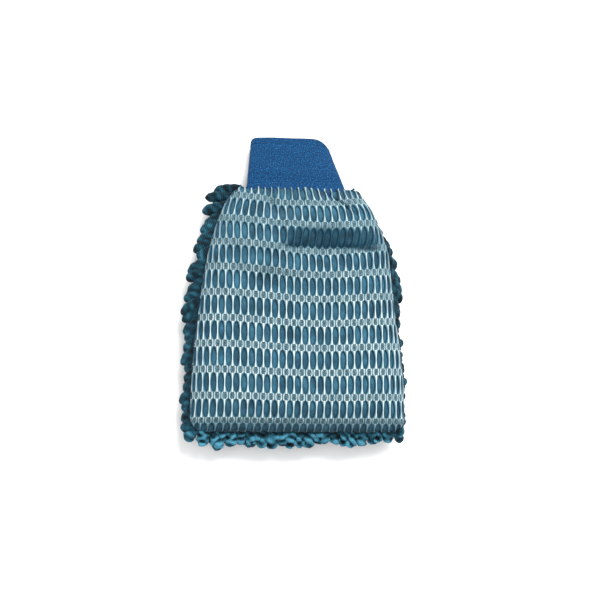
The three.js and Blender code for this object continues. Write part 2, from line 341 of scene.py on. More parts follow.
def thicken(piece, thickness):
    solid = piece.modifiers.new("cloth thickness", "SOLIDIFY")
    solid.thickness = thickness * mm
    solid.offset = -1  # inwards only
    return piece


def tidyLoose(piece):
    # Deletes points that no face uses.
    used = np.zeros(len(piece.data.vertices), bool)
    corner = np.empty(len(piece.data.loops), int)
    piece.data.loops.foreach_get("vertex_index", corner)
    used[corner] = True
    if used.all():
        return
    shape = bmesh.new()
    shape.from_mesh(piece.data)
    shape.verts.ensure_lookup_table()
    bmesh.ops.delete(shape, geom=[v for v in shape.verts if not used[v.index]], context="VERTS")
    shape.to_mesh(piece.data)
    shape.free()


def finished(piece, bodyName, slotName, *nodes):
    if nodes:
        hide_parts(*nodes)
    if bodyName:
        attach(piece, bodyName)
    return piece


def linear(code):
    channels = [int(code[i : i + 2], 16) / 255 for i in (1, 3, 5)]
    return [c / 12.92 if c <= 0.04045 else ((c + 0.055) / 1.055) ** 2.4 for c in channels] + [1]


def addNode(tree, kind, settings=None, links=None):
    node = tree.nodes.new(kind)
    for key, value in (settings or {}).items():
        if isinstance(key, int) or key in node.inputs:
            node.inputs[key].default_value = value
        else:
            setattr(node, key, value)
    for key, source in (links or {}).items():
        tree.links.new(source, node.inputs[key])
    return node


def newMaterial(name, **settings):
    # Yarn shades itself, so cloth shines less than its polymer would when smooth.
    material = bpy.data.materials.new(name)
    material.use_nodes = True
    shader = material.node_tree.nodes["Principled BSDF"]
    shader.inputs["Specular IOR Level"].default_value = 0.2
    for key, value in settings.items():
        shader.inputs[key.replace("_", " ")].default_value = value
    return material, material.node_tree, shader


def colourRamp(tree, source, stops):
    # A ramp's own places end at 1, so levels above that are scaled down to fit.
    top = max(1, stops[-1][0])
    level = addNode(tree, "ShaderNodeMath", {"operation": "MULTIPLY", 1: 1 / top}, {0: source})
    ramp = addNode(tree, "ShaderNodeValToRGB", links={"Fac": level.outputs[0]})
    points = ramp.color_ramp.elements
    while len(points) < len(stops):
        points.new(0.5)
    for point, (place, code) in zip(points, stops):
        point.position = place / top
        point.color = linear(code)
    return ramp.outputs["Color"]


def clothPlace(tree):
    return addNode(tree, "ShaderNodeUVMap", {"uv_map": "cloth"}).outputs["UV"]


def objectPlace(tree):
    return addNode(tree, "ShaderNodeTexCoord").outputs["Object"]


def crestToneAndShade(tree):
    # The crest mark: a tone with painted shade in it, and on the fluffy tip noodles painted light.
    return addNode(tree, "ShaderNodeAttribute", {"attribute_name": "crest"}).outputs["Fac"]


def noise(tree, place, perMm, detail, **more):
    settings = {"Scale": perMm / mm, "Detail": detail, **more}
    return addNode(tree, "ShaderNodeTexNoise", settings, {"Vector": place}).outputs["Fac"]


def scaledAdd(tree, value, factor, base):
    settings = {"operation": "MULTIPLY_ADD", 1: factor}
    return addNode(tree, "ShaderNodeMath", settings, {0: value, 2: base}).outputs[0]


def coloured(tree, shader, source, stops):
    tree.links.new(colourRamp(tree, source, stops), shader.inputs["Base Color"])


def bumped(tree, shader, height, strength, depth, invert=False):
    settings = {"Strength": strength, "Distance": depth * mm, "invert": invert}
    bump = addNode(tree, "ShaderNodeBump", settings, {"Height": height})
    tree.links.new(bump.outputs[0], shader.inputs["Normal"])


def satinNet():
    # Warp-knit polyester net of flat filament: white with an aqua cast and silky along its ribs,
    # dull and a little see-through at their edges. Its filaments are under 0.1 mm thick, and are
    # drawn as strands of about 0.4 mm, as single ones would be lost.
    material, tree, shader = newMaterial(
        "warp_knit_polyester_net", Roughness=0.5, IOR=1.54, Sheen_Weight=0.02, Sheen_Roughness=0.4
    )
    cloth = clothPlace(tree)
    stretch = addNode(tree, "ShaderNodeMapping", {"Scale": (1, 0.06, 1)}, {"Vector": cloth})
    strands = noise(tree, stretch.outputs[0], 2.4, 3)
    # The crest mark is the rib's own tone times painted shade at the tip's edge, towards the cuff and in
    # the fold.
    level = scaledAdd(tree, strands, 0.35, crestToneAndShade(tree))
    stops = [(0.28, "#0a4058"), (0.55, "#375f6d"), (0.82, "#70888f"), (1.06, "#ced9da")]
    colour = colourRamp(tree, level, stops)
    patches = colourRamp(tree, noise(tree, cloth, 0.09, 2), [(0.34, "#a4bfc6"), (0.6, "#ffffff")])
    settings = {"blend_type": "MULTIPLY", "Fac": 0.6}
    shaded = addNode(tree, "ShaderNodeMixRGB", settings, {"Color1": colour, "Color2": patches})
    tree.links.new(shaded.outputs[0], shader.inputs["Base Color"])
    bumped(tree, shader, strands, 0.5, 0.12)
    return material


def sheerFilling():
    # Fine monofilament between the ribs: greyish, a little see-through in life, so it reads dull.
    material, tree, shader = newMaterial("sheer_filament_filling", Roughness=0.5, IOR=1.54)
    spots = noise(tree, clothPlace(tree), 1.3, 2)
    coloured(tree, shader, spots, [(0.35, "#2f4c58"), (0.5, "#4f6f7a"), (0.65, "#83999c")])
    return material


def brushedCloth(name, codes, grainMm, bumpMm, roughness=0.92):
    # Brushed polyester: matt and clouded, with a short nap that scatters light at its edges. Foam's
    # open cells scatter it much the same.
    material, tree, shader = newMaterial(
        name, Roughness=roughness, IOR=1.5, Sheen_Weight=0.06, Sheen_Roughness=0.6
    )
    place = objectPlace(tree)
    nap = noise(tree, place, 1 / grainMm, 4)
    both = scaledAdd(tree, nap, 0.7, noise(tree, place, 0.07, 2))
    coloured(tree, shader, both, list(zip((0.62, 0.84, 1.06), codes)))
    bumped(tree, shader, nap, 0.7, bumpMm)
    return material


def chenille():
    # Microfibre chenille: dense short fibres, so it is silvery at grazing angles. Its crest mark
    # carries painted shade in the grooves and at the roots, and painted light on the fluffy tip noodles.
    # Its fibre tufts are about 0.6 mm across, and are drawn at 0.9 mm, as finer ones would be lost.
    material, tree, shader = newMaterial(
        "microfibre_chenille", Roughness=0.95, IOR=1.5, Sheen_Weight=0.12, Sheen_Roughness=0.35,
        Sheen_Tint=linear("#a9d5e2"), Subsurface_Weight=0.2, Subsurface_Radius=(1, 1, 1),
        Subsurface_Scale=1.2 * mm,
    )
    place = objectPlace(tree)
    tufts = noise(tree, place, 1 / 0.9, 5, Roughness=0.65)
    both = scaledAdd(tree, tufts, 0.6, noise(tree, place, 0.12, 2))
    level = scaledAdd(tree, crestToneAndShade(tree), 0.6, both)
    stops = [(0.85, "#020c12"), (1.08, "#0a2a36"), (1.32, "#194a5a"), (1.75, "#45839a")]
    coloured(tree, shader, level, stops)
    bumped(tree, shader, tufts, 0.9, 0.5)
    return material


def ribKnit():
    # Texturised polyester rib knit: matt blue, speckled by loops that catch the light. Its loops
    # are 0.95 mm wide, two to a rib.
    material, tree, shader = newMaterial(
        "texturised_polyester_rib_knit", Roughness=0.85, IOR=1.5, Sheen_Weight=0.04, Sheen_Roughness=0.5
    )
    cloth = clothPlace(tree)
    settings = {"Scale": 1 / (0.95 * mm), "Randomness": 0.8}
    loops = addNode(tree, "ShaderNodeTexVoronoi", settings, {"Vector": cloth}).outputs["Distance"]
    light = scaledAdd(tree, loops, -0.25, noise(tree, cloth, 1 / 1.1, 3))
    stops = [(0.22, "#002243"), (0.4, "#00375f"), (0.5, "#034772"), (0.62, "#1e6d9b")]
    coloured(tree, shader, light, stops)
    bumped(tree, shader, loops, 0.8, 0.3, invert=True)
    return material


def sewingThread(name, code):
    # Spun polyester thread: small glints on a mostly matt twist.
    material, tree, shader = newMaterial(name, Roughness=0.55, IOR=1.5, Base_Color=linear(code))
    bumped(tree, shader, noise(tree, objectPlace(tree), 2.5, 2), 0.6, 0.1)
    return material


def wovenTape(name, code, dark):
    # Woven tape and elastic: flat ribs across it, that are about a millimetre apart and are drawn
    # two apart, as finer ones would be lost.
    material, tree, shader = newMaterial(name, Roughness=0.7, IOR=1.5)
    settings = {"Scale": 0.16 / mm, "Distortion": 0.5, "bands_direction": "X"}
    ribs = addNode(tree, "ShaderNodeTexWave", settings, {"Vector": objectPlace(tree)}).outputs["Fac"]
    coloured(tree, shader, ribs, [(0.2, dark), (0.7, code)])
    bumped(tree, shader, ribs, 0.6, 0.2)
    return material


netFinish = satinNet()
fillingFinish = sheerFilling()
clothFinish = brushedCloth("brushed_polyester_face_cloth", ("#12303d", "#204759", "#305f73"), 0.7, 0.25)
liningFinish = brushedCloth("tricot_lining", ("#1b4462", "#2c5f86", "#3f769c"), 0.5, 0.15, 0.8)
groundFinish = brushedCloth("knitted_ground_cloth", ("#0d3340", "#164b5c", "#235f72"), 0.8, 0.3)
foamFinish = brushedCloth("open_cell_foam", ("#c9c2ad", "#e3ddca", "#f3efe2"), 0.9, 0.4)
pileFinish = chenille()
knitFinish = ribKnit()
seamThreadFinish = sewingThread("spun_polyester_thread_navy", "#0f3442")
hemThreadFinish = sewingThread("spun_polyester_thread_blue", "#22629a")
tapeFinish = wovenTape("woven_polyester_tape", "#dfe3e2", "#aab4b6")
elasticFinish = wovenTape("woven_elastic", "#eeeeea", "#b9b9b2")
print("materials made")


net = {
    "pitch": 6.25,  # between ribs
    "rowPitch": 21.4,
    "rowCount": 12,
    "firstBand": 15.2,  # first row of small ovals, along the cloth from the fingertip seam
    "holeHalf": 7.9,
    "holeSide": 2.15,
    "ovalHalf": 2.95,
    "ovalSide": 1.6,
    "lift": 1.4,  # height of a rib
    "base": 0.3,
    "sagDepth": 12.0,
    "sagX": 12,
    "sagHalf": 60,
    "drawnIn": 0.10,  # share of its width that the net loses at the cuff
}


def netEdges(along):
    # Inner and outer edge of the net in a half cell, from the rib's middle line to the hole's,
    # at a distance along the row that is counted from the middle of the small oval.
    far = net["rowPitch"] / 2 - np.abs(along)
    share = np.clip(far / net["holeHalf"], 0, 1)
    hole = net["holeSide"] * (1 - share**2.2) ** 0.95
    oval = net["ovalSide"] * np.sqrt(np.maximum(0, 1 - (along / net["ovalHalf"]) ** 2))
    return oval, net["pitch"] / 2 - hole


def laid(s, t):
    # The net lies low in the middle of its upper rows, and draws in towards the cuff.
    high = np.clip(t / clothLength, 0, 1)
    t = t - net["sagDepth"] * high * np.exp(-(((s - net["sagX"]) / net["sagHalf"]) ** 2))
    y = np.interp(t, arcDown, arcY)
    return s * (1 - net["drawnIn"] * smooth(y, 172, body["endY"])), t


def netShade(x, y):
    # Painted shade: the net's tone is darkened over the tip's edge, towards the cuff and in the fold,
    # where it lies in shade.
    # Painted shade over the tip's edge.
    tipEdgeShade = 0.55 + 0.45 * smooth(y, 1, 13)
    past = pastFold(x, y)
    inFold = smooth(x, -22, 0) * (1 - smooth(x, 58, 74))
    inFold = inFold * smooth(past, -3, 2) * (1 - smooth(past, 10, 15))
    # Painted shade towards the cuff and in the fold.
    cuffAndFoldShade = (1 - 0.15 * smooth(y, 80, 165)) * (1 - 0.6 * inFold)
    return tipEdgeShade, cuffAndFoldShade


def netCells(bands, columns):
    # The net laid flat: its points, their height and tone, and its faces. A rib is split by each
    # small oval into two strands, so a strand's ridge moves in from the rib's middle line there.
    steps = np.array([0.7, 1.4, 2.1, 2.6, 2.95, 3.2, 3.6, 4.3, 5.3, 7, 8.8])
    steps = np.concatenate([[-net["rowPitch"] / 2], -steps[::-1], [0], steps])
    widths = np.array([0, 0.2, 0.4, 0.7, 1.0])
    points = {}
    flat, crest, quads = [], [], []

    def vertex(s, t, marks):
        key = (round(s, 3), round(t, 3))
        if key not in points:
            points[key] = len(flat)
            flat.append((s, t))
            crest.append(marks)
        return points[key]

    grid = np.concatenate([band + steps for band in bands])
    local = np.tile(steps, len(bands))
    inner, outer = netEdges(local)
    freeInner = np.clip(inner / 0.6, 0, 1)
    freeOuter = np.clip((net["pitch"] / 2 - outer) / 0.6, 0, 1)
    ridge = 0.4 * freeInner
    dropOut = mix(0.66, 0.95, freeOuter)
    inBand = np.exp(-((local / 4.2) ** 4))
    for column in range(-columns, columns + 1):
        axis = column * net["pitch"]
        for side in (-1, 1):
            rows = []
            for k, t in enumerate(grid):
                row = []
                for w in widths:
                    x = inner[k] + (outer[k] - inner[k]) * w
                    if w >= ridge[k]:
                        away, drop = (w - ridge[k]) / (1 - ridge[k]), dropOut[k]
                    else:
                        away, drop = (ridge[k] - w) / ridge[k], 0.8 * freeInner[k]
                    height = (1 - drop * away**1.8) * (1 - 0.25 * inBand[k])
                    tone = (1 - drop * away**0.9) * (1 - 0.08 * inBand[k])
                    row.append(vertex(axis + side * x, t, (height, tone)))
                rows.append(row)
            for low, high in zip(rows, rows[1:]):
                for i in range(len(widths) - 1):
                    quad = (low[i], low[i + 1], high[i + 1], high[i])
                    quads.append(quad if side > 0 else quad[::-1])
    return np.array(flat), np.array(crest), quads


def scrubNet():
    columns = int(clothHalf / net["pitch"]) + 3
    bands = [net["firstBand"] + k * net["rowPitch"] for k in range(-1, net["rowCount"])]
    flat, crest, quads = netCells(bands, columns)
    s, t = laid(flat[:, 0], flat[:, 1])
    y = np.interp(t, arcDown, arcY)
    outside = (np.abs(s) > np.interp(y, arcY, arcHalf)) | (t < 0) | (t > clothLength)
    t = np.clip(t, 0, clothLength)
    place = onFace(s, t)
    normal = faceNormal(s, t)
    quads = [q for q in quads if len(set(q)) == 4 and not all(outside[list(q)])]
    lift = np.where(outside, 0.0, crest[:, 0] * net["lift"])
    top = place + normal * (lift[:, None] - net["lift"])
    bottom = place - normal * (net["lift"] + net["base"])
    count = len(flat)
    faces = list(quads) + [tuple(i + count for i in q[::-1]) for q in quads]
    edges = dict.fromkeys((a, b) for q in quads for a, b in zip(q, q[1:] + q[:1]))
    faces += [(b, a, a + count, b + count) for a, b in edges if (b, a) not in edges]
    uv = np.concatenate([flat, flat])
    tipEdgeShade, cuffAndFoldShade = netShade(s, y)
    # The top takes the rib's own tone times the painted shade; the underside takes the darkest tone.
    marks = np.concatenate([crest[:, 1] * tipEdgeShade * cuffAndFoldShade, np.zeros(count)])
    piece = makePiece("scrub_net_ribs", np.concatenate([top, bottom]), faces, netFinish, uv, marks)
    return piece, bands, columns


def netFilling(bands, columns):
    # Two crescents and a middle filament in each small oval, as shares of its half width.
    strips = ((0.5, 1.06), (-1.06, -0.5), (-0.16, 0.16))
    turns = np.linspace(-1, 1, 7)
    flat, faces = [], []
    for band in bands:
        for column in range(-columns, columns + 1):
            axis = column * net["pitch"]
            if abs(axis) > clothHalf or not 2 < band < clothLength:
                continue
            for inside, outside in strips:
                first = len(flat)
                for turn in turns:
                    bow = net["ovalSide"] * math.sqrt(max(0, 1 - (turn * 0.97) ** 2))
                    if abs(inside) < 0.2:  # the middle one runs straight
                        bow = net["ovalSide"]
                    t = band + turn * net["ovalHalf"]
                    flat += [(axis + inside * bow, t), (axis + outside * bow, t)]
                for k in range(len(turns) - 1):
                    a = first + 2 * k
                    faces.append((a, a + 1, a + 3, a + 2))
    flat = np.array(flat)
    s, t = laid(flat[:, 0], flat[:, 1])
    half = np.interp(np.interp(t, arcDown, arcY), arcY, arcHalf)
    outside = (np.abs(s) > half - 0.5) | (t < 1) | (t > clothLength)
    place = onFace(s, np.clip(t, 0, clothLength)) - faceNormal(s, t) * (0.7 * net["lift"])
    faces = [f for f in faces if not any(outside[list(f)])]
    piece = makePiece("scrub_net_filling", place, faces, fillingFinish, flat)
    tidyLoose(piece)
    return thicken(piece, 0.2)


# Layers of the pocket: how far each lies below the top of the net, or above the back, and its thickness.
layers = {
    "clothDepth": 2.1,
    "clothThick": 0.6,
    "foamDepth": 3.4,
    "foamThick": 4.2,
    "liningDepth": 8.2,
    "liningThick": 0.5,
    "groundThick": 0.9,
    "backLiningLift": 2.0,
}


def faceLayer(name, depth, material, thickness, rows, columns, fromT=0.0, toShare=1.0, sideShare=1.0):
    # A sheet that follows the face at a depth below the top of the net.
    turn = closerAtSides(columns) * sideShare
    atTip = np.linspace(fromT, 24, 18)[:-1]
    along = np.concatenate([atTip, np.linspace(24, clothLength * toShare, rows)])
    share, t = np.meshgrid(turn, along)
    y = np.interp(t, arcDown, arcY)
    s = share * np.interp(y, arcY, arcHalf) * 0.9995
    place = onFace(s, t) - faceNormal(s, t) * depth
    if sideShare == 1.0:  # sewn in along its whole edge
        for border in ((slice(None), 0), (slice(None), -1), (0, slice(None))):
            edge = onFace(s[border], t[border])
            edge[..., 2] = midHeight(edge[..., 1]) + 0.3
            place[border] = edge
    uv = np.stack([s, t], -1).reshape(-1, 2)
    piece = makePiece(name, place, gridFaces(len(along), columns), material, uv)
    return thicken(piece, thickness)


netPiece, netBands, netColumns = scrubNet()
tidyLoose(netPiece)
finished(netPiece, "mitt", "net", "scrub_net")
fillingPiece = netFilling(netBands, netColumns)
finished(fillingPiece, "mitt", "net", "scrub_net")
faceCloth = faceLayer(
    "face_cloth_sheet", layers["clothDepth"], clothFinish, layers["clothThick"], rows=190, columns=150
)
finished(faceCloth, "mitt", "face_cloth", "face_cloth")
print("face made", len(netPiece.data.polygons))


def backLayer(name, depth, material, thickness, endShare=1.0):
    # A sheet that follows the back, and comes closer to it at its edges.
    columns = 70
    turn = closerAtSides(columns)
    atTip = np.linspace(0, 14, 15)[:-1]
    along = np.concatenate([atTip, np.linspace(14, body["endY"] * endShare, 80)])
    u, y = np.meshgrid(turn, along)
    lift = depth * (0.35 + 0.65 * np.sqrt(fullness(u, y)))
    place = np.stack([across(u, y), y, backHeight(u, y) + lift], -1)
    piece = makePiece(name, place, gridFaces(len(along), columns), material)
    return thicken(piece, thickness)


foamPad = faceLayer(
    "foam_pad", layers["foamDepth"], foamFinish, layers["foamThick"], rows=60, columns=50,
    fromT=18, toShare=0.7, sideShare=0.86,
)
finished(foamPad, "mitt", "foam", "face_foam")
faceLining = faceLayer(
    "face_lining_sheet", layers["liningDepth"], liningFinish, layers["liningThick"], rows=60, columns=60,
    fromT=9, toShare=0.97, sideShare=0.9,
)
finished(faceLining, "mitt", "lining", "face_lining")
groundCloth = backLayer("ground_cloth", 0, groundFinish, layers["groundThick"])
finished(groundCloth, "mitt", "pile_cloth", "pile_cloth")
backLining = backLayer(
    "back_lining_sheet", layers["backLiningLift"], liningFinish, layers["liningThick"], 0.99
)
finished(backLining, "mitt", "lining", "back_lining")
print("pocket made")


# Chenille noodles: those of the back stand in rows, and those of the edge are sewn in along it.
pile = {
    "thick": 8.4,
    "length": 21,
    "pitch": 9.4,  # between noodles along a row
    "inset": 7,
    "ribPitch": 1.55,
    "ribDepth": 0.10,
    "plyDepth": 0.05,
    "plyPitch": 15,
    "sink": 0.4,  # of a root into the ground cloth
    "lean": 50,  # degrees, first row towards the fingertip
    "leanFade": 15,
    "endSplay": 30,  # degrees, the last noodle at each end of a row, away from the middle
    "sag": 3.0,
    "bend": 2.5,
    "edgeInset": 3.2,
    "edgePitch": 8.4,  # between noodles along the sewn edge
    "edgeThick": 9.9,
    "edgeLength": 21,
    "tipPitch": 7.3,
    "tipThick": 9.4,
    "tipLength": 15.5,
    "tipFall": 17,  # degrees below level
}


def sewnLine():
    # The sewn edge, from the left of the wrist round the fingertip end to the right of it, and
    # which way is outward from it.
    turn = np.linspace(0, math.pi / 2, 14)
    y = np.concatenate([np.linspace(204.5, 13, 120), 12 - 12 * np.sin(turn)])
    left = np.stack([across(-1, y), y, midHeight(y)], -1)
    right = np.stack([across(1, y), y, midHeight(y)], -1)[::-1]
    middle = np.linspace(left[-1], right[0], 50)[1:-1]
    line = np.concatenate([left, middle, right])
    step = np.gradient(line, axis=0)
    outward = np.stack([step[:, 1], -step[:, 0], 0 * step[:, 0]], -1)
    outward /= np.linalg.norm(outward, axis=1, keepdims=True)
    return line, outward


def noodle(root, aim, length, thick, draw, along=30, around=14, leaf=0.0, fluff=0.0):
    # A soft finger from its root: it leaves along aim, sags, and lies on the ground if it gets there.
    # With leaf its end turns from round to pointed, and with fluff its twist turns to soft lumps, and it
    # is painted lighter, as painted light.
    k = np.linspace(0, 1, along)
    bend = np.array([draw.uniform(-1, 1), draw.uniform(-1, 1), 0]) * pile["bend"]
    radius = thick / 2
    reach = length - radius * 0.3
    path = root + aim * (k * reach)[:, None] + bend * (k**2)[:, None]
    path[:, 2] -= pile["sag"] * k**2 * (1 - abs(aim[2]))
    path[:, 2] = np.maximum(path[:, 2], radius * 0.86)
    step = np.gradient(path, axis=0)
    step /= np.linalg.norm(step, axis=1, keepdims=True)
    side = np.cross(step, [0.13, 0.27, 0.95] if abs(aim[2]) < 0.8 else [0.13, 0.97, 0.2])
    side /= np.linalg.norm(side, axis=1, keepdims=True)
    other = np.cross(step, side)
    swell = mix(0.8, 0.6, fluff) + mix(0.2, 0.4, fluff) * np.sin(np.minimum(1, k / 0.5) * math.pi / 2)
    taperFrom = mix(0.78, 0.6, leaf)
    last = np.clip((k - taperFrom) / (1 - taperFrom), 0, 1)
    endRound = mix(np.sqrt(np.maximum(0, 1 - last**2.2)), (1 - last**1.7) ** 0.7, leaf)
    outline = radius * swell * np.maximum(endRound, 0.03)
    turn = np.linspace(0, 2 * math.pi, around, endpoint=False)
    kk, tt = np.meshgrid(k * length, turn, indexing="ij")
    hand = 1 if draw.random() < 0.8 else -1
    start = draw.uniform(0, 6)
    ribs = np.cos(2 * math.pi * kk / pile["ribPitch"] + hand * tt + start)
    ply = np.cos(2 * (tt - hand * 2 * math.pi * kk / pile["plyPitch"]) + start)
    lumps = 0
    for _ in range(8):
        wave = 2 * math.pi * draw.uniform(0.3, 1.0) / 4.8
        lumps = lumps + np.sin(wave * kk + draw.integers(-4, 5) * tt + draw.uniform(0, 6)) / 2.6
    nap = mix(ribs, lumps, fluff)
    bulk = mix(pile["ribDepth"], 0.7, fluff) * nap + radius * pile["plyDepth"] * ply
    bulk = bulk + draw.normal(0, mix(0.05, 0.2, fluff), kk.shape)
    size = outline[:, None] + bulk * np.minimum(1, outline / radius * 1.6)[:, None]
    ring = side[:, None, :] * np.cos(tt)[..., None] + other[:, None, :] * np.sin(tt)[..., None]
    points = path[:, None, :] + ring * size[..., None]
    points[..., 2] = np.maximum(points[..., 2], 0.02)
    faces = [tuple(range(around))[::-1]] + gridFaces(along, around, closed=True)
    lastRing = (along - 1) * around
    faces.append(tuple(lastRing + i for i in range(around)))
    # Painted shade: darker in the grooves between the ribs and near the root. Painted light: with fluff
    # the noodle is lighter, most on the tops of its lumps.
    crest = np.clip(0.5 + 0.3 * nap + 0.2 * ply, 0, 1) * (0.3 + 0.7 * np.minimum(1, kk / 8))
    crest = crest + 0.62 * fluff * np.minimum(1, kk / 8) * (1 + 0.6 * nap)
    return points.reshape(-1, 3), faces, crest.ravel()


def sideTurn(x, y):
    # Degrees that a side's noodle is swept towards the fingertip, and that it falls below level.
    upper = smooth(y, 30, 185)
    if x < 0:  # the left ones lie out flat, and those by the cuff point straight out
        slant = mix(52, 30, smooth(y, 60, 160)) - 34 * smooth(y, 182, 202)
        return slant, mix(18, 6, upper)
    shoulder = math.exp(-(((y - 138) / 28) ** 2))  # the right ones hang, least at the shoulder
    slant = mix(62, 48, upper) - 17 * shoulder
    return slant, mix(36, 48, upper) - 15 * shoulder + 30 * smooth(y, 168, 186)


def sideReach(x, y):
    reach = pile["edgeLength"] + 1.5 - 5.5 * (1 - smooth(y, 50, 130)) - 3.5 * (1 - smooth(y, 20, 55))
    if x > 0:
        reach = reach - 10.5 + 12.0 * math.exp(-(((y - 132) / 32) ** 2))
    reach = reach - 3.0 * smooth(y, 140, 160) * (1 - smooth(y, 178, 192))
    return reach + 3.0 * smooth(y, 180, 200)


def edgeNoodles():
    # Noodles sewn in along the edge, each with the row of the back that it belongs to. They point
    # away from the edge, and one at a corner is between those of a side and those of the tip.
    line, outward = sewnLine()
    length = np.concatenate([[0], np.cumsum(np.linalg.norm(np.diff(line, axis=0), axis=1))])
    draw = np.random.default_rng(77)
    found = []
    at = 1.0
    while at < length[-1]:
        spot = np.array([np.interp(at, length, line[:, k]) for k in range(3)])
        out = np.array([np.interp(at, length, outward[:, k]) for k in range(3)])
        out /= np.linalg.norm(out)
        x, y = spot[0], spot[1]
        atTip = smooth(-out[1], 0.5, 0.95)
        slant, fall = sideTurn(x, y)
        slant = math.radians(slant + draw.uniform(-7, 7))
        fall = math.radians(mix(fall, pile["tipFall"], atTip) + draw.uniform(-4, 4))
        sway = math.radians(draw.uniform(-18, 18))
        swept = np.array([math.copysign(math.cos(slant), x), -math.sin(slant), 0])
        flat = swept * (1 - atTip) + (out + [math.sin(sway), 0, 0]) * atTip
        flat /= np.linalg.norm(flat)
        aim = flat * math.cos(fall) + np.array([0, 0, -math.sin(fall)])
        root = spot - out * pile["edgeInset"] + [0, 2.6 * smooth(y, 194, 203), mix(-3.0, -1.8, atTip)]
        size = mix(pile["edgeThick"], pile["tipThick"], atTip) * draw.uniform(0.92, 1.06)
        tipReach = pile["tipLength"] - 2.5 * x / body["bottomHalf"] - 4.5 * smooth(x, 50, 86)
        reach = mix(sideReach(x, y), tipReach, atTip) * draw.uniform(0.9, 1.1)
        leaf = (1 - atTip) * draw.uniform(0.25, 0.85)
        row = int(np.clip(round((y - 8) / 9.5), 0, len(rowNodes) - 1))
        made = noodle(root, aim, reach, size, draw, 54, 18 + int(10 * atTip), leaf, atTip)
        found.append((row, made))
        at += mix(pile["edgePitch"], pile["tipPitch"], atTip)
    return found


def noodleRow(node, edgeOnes):
    # One row across the back, in the place of its node, together with its noodles of the edge.
    draw = np.random.default_rng(int(node[-2:]))
    row = (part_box(node)[1].y - tipY) / mm - 4.0
    reach = float(halfWidth(np.array(row))) - pile["inset"]
    count = int(2 * reach / pile["pitch"]) + 1
    parts = list(edgeOnes)
    for x in np.linspace(-reach, reach, count):
        end = abs(x) > reach - 1
        x += draw.uniform(-0.8, 0.8) * (not end)
        y = row + draw.uniform(-1.2, 1.2)
        splay = math.radians(draw.uniform(-9, 9)) + math.radians(pile["endSplay"]) * np.sign(x) * end
        lean = -math.radians(pile["lean"]) * math.exp(-(row - 8) / pile["leanFade"])
        lean += math.radians(draw.uniform(-10, 10))
        aim = np.array([math.sin(splay), math.sin(lean), 0])
        aim[2] = -math.sqrt(max(0.05, 1 - aim[0] ** 2 - aim[1] ** 2))
        aim /= np.linalg.norm(aim)
        u = x / (reach + pile["inset"])
        root = np.array([x, y, float(backHeight(np.array(u), np.array(y))) - pile["sink"]])
        length = pile["length"] * draw.uniform(0.9, 1.08)
        parts.append(noodle(root, aim, length, pile["thick"] * draw.uniform(0.92, 1.06), draw))
    points, faces, crest = joined(parts)
    piece = makePiece(node + "_yarn", points, faces, pileFinish, crest=crest)
    return finished(piece, "mitt", "chenille", node)


rowNodes = sorted(name for name in frame["nodes"] if name.startswith("noodle_row_"))
edgeFound = edgeNoodles()
for k, rowNode in enumerate(rowNodes):
    noodleRow(rowNode, [made for row, made in edgeFound if row == k])
print("pile made", len(rowNodes), len(edgeFound))


cuff = {
    "root": 196.5,  # hidden inside the gathered edge
    "top": (cuffHigh.y - tipY) / mm + 3.2,
    "leftRoot": cuffLow.x / mm - 1.6,
    "rightRoot": cuffHigh.x / mm + 1.5,
    "leftTop": -38.2,  # the mouth is narrower, and lies to the left
    "rightTop": 25.5,
    "cadRoot": (cuffLow.y - tipY) / mm,
    "half": 6.6,  # of its thickness, lying flat
    "halfRoot": 4.6,
    "droop": 0.22,
    "cornerFrom": 0.86,  # share of its width past which the mouth turns down
    "cornerDrop": 11.0,
    "leftCornerDrop": 2.2,
    "wall": 1.4,
    "hemDepth": 7.5,
    "hemPinch": 0.45,
    "ribPitch": 1.9,
    "ribDepth": 0.11,
    "waveDepth": 0.5,
    "waveLength": 26,
}


def cuffSides(share):
    # How far left and right the tube reaches at a share of its length.
    left = mix(cuff["leftRoot"], cuff["leftTop"], share)
    return left, mix(cuff["rightRoot"], cuff["rightTop"], share)


def cuffPoint(turn, inset, down):
    # Round the flattened tube by turn, inset into its wall, and down from its mouth.
    span = cuff["top"] - cuff["cadRoot"]
    level = cuff["top"] - down
    share = (level - cuff["cadRoot"]) / span
    half = mix(cuff["halfRoot"], cuff["half"], smooth(level, cuff["cadRoot"], cuff["cadRoot"] + 12))
    left, right = cuffSides(share)
    width = right - left
    angle = 2 * math.pi * turn
    cos, sin = np.cos(angle), np.sin(angle)
    x = np.sign(cos) * np.abs(cos) ** 0.62 * (width / 2 - inset)
    bow = 0.82 + 0.18 * (1 - np.abs(2 * x / width) ** 2)
    z = np.sign(sin) * np.abs(sin) ** 0.75 * (half * bow - inset)
    outermost = 0.5 + np.sign(cos) * np.abs(cos) ** 0.62 / 2
    turned = np.clip((outermost - cuff["cornerFrom"]) / (1 - cuff["cornerFrom"]), 0, 1)
    drop = cuff["cornerDrop"] * (1 - np.sqrt(1 - turned**2)) * smooth(share, 0, 1)
    turned = np.clip((0.06 - outermost) / 0.06, 0, 1)
    drop = drop + cuff["leftCornerDrop"] * (1 - np.sqrt(1 - turned**2)) * smooth(share, 0.4, 1)
    y = level - drop
    height = (y - cuff["cadRoot"]) / span
    left, right = cuffSides(height)
    place = mix(left, right, 0.5 + x / width)
    z = z + body["wristZ"] - (y - body["wristY"]) * cuff["droop"]
    return np.stack([place, y, z], -1)


def evenTurns(count):
    # Turns that step evenly round the mouth of the tube.
    fine = np.linspace(0, 1, 4001)
    ring = cuffPoint(fine, 0, np.full(len(fine), 20.0))
    length = np.concatenate([[0], np.cumsum(np.linalg.norm(np.diff(ring, axis=0), axis=1))])
    return np.interp(np.linspace(0, length[-1], count, endpoint=False), length, fine)


